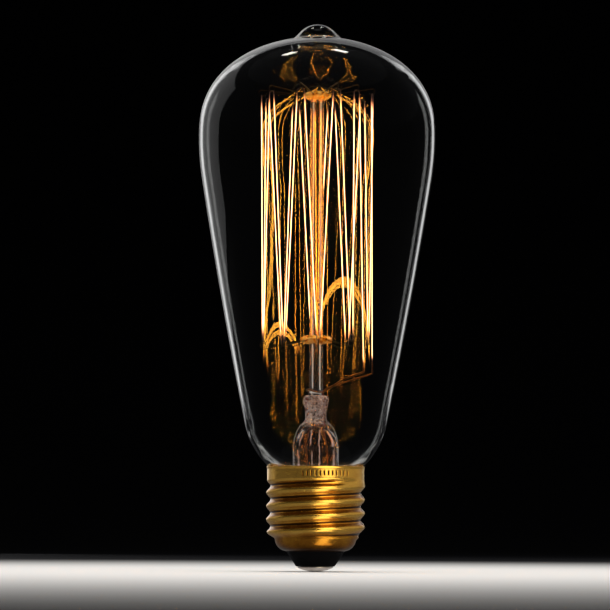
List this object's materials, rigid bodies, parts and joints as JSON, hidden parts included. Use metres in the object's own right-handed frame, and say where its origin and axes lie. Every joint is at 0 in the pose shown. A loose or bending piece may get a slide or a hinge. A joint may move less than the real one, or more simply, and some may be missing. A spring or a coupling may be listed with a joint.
{
  "type": "filament bulb",
  "caption": "Teardrop filament lamp: tipped clear glass, a zigzag squirrel-cage filament hung on wire hooks between two glass buttons, and a brass screw cap.",
  "frame": {"origin": "middle of the flat land at the lowest point of the centre contact", "axes": "+Z along the lamp's axis, from the centre contact to the glass tip; -Y is the side that the picture shows; +X is its right"},
  "size_m": [0.0639, 0.0638, 0.1477],
  "materials": {
    "envelope_glass": "clear blown soda-lime glass, fire polished",
    "stem_glass": "clear lead glass, worked in a flame",
    "hook_wire": "drawn molybdenum wire, slightly oxidised",
    "filament_glow": null,
    "lead_wire": "drawn nickel wire",
    "seal_wire": "borated copper-clad wire, red where it is wetted by the glass",
    "copper_lead": "soft copper wire",
    "cap_brass": "rolled brass sheet, warm and slightly tarnished",
    "contact_metal": "stamped and tinned brass, dulled",
    "cement": "baked capping cement",
    "black_glass": "opaque black cap glass, glossy",
    "solder": "tin solder, dull and lightly wrinkled"
  },
  "bodies": {
    "root": {"glass_envelope": "envelope_glass", "stem_flare": "stem_glass", "exhaust_tube": "stem_glass", "support_rod": "stem_glass", "upper_button": "stem_glass", "lower_button": "stem_glass", "upper_hook_1": "hook_wire", "upper_hook_2": "hook_wire", "upper_hook_3": "hook_wire", "upper_hook_4": "hook_wire", "upper_hook_5": "hook_wire", "upper_hook_6": "hook_wire", "upper_hook_7": "hook_wire", "upper_hook_8": "hook_wire", "upper_hook_9": "hook_wire", "upper_hook_10": "hook_wire", "lower_hook_1": "hook_wire", "lower_hook_2": "hook_wire", "lower_hook_3": "hook_wire", "lower_hook_4": "hook_wire", "lower_hook_5": "hook_wire", "lower_hook_6": "hook_wire", "lower_hook_7": "hook_wire", "lower_hook_8": "hook_wire", "lower_hook_9": "hook_wire", "filament": "filament_glow", "inner_lead_left": "lead_wire", "inner_lead_right": "lead_wire", "seal_wire_left": "seal_wire", "seal_wire_right": "seal_wire", "outer_lead_centre": "copper_lead", "outer_lead_side": "copper_lead", "cap_shell": "cap_brass", "centre_contact": "contact_metal", "capping_cement": "cement", "cap_insulator": "black_glass", "centre_solder": "solder", "rim_solder": "solder"}
  },
  "joints": []
}
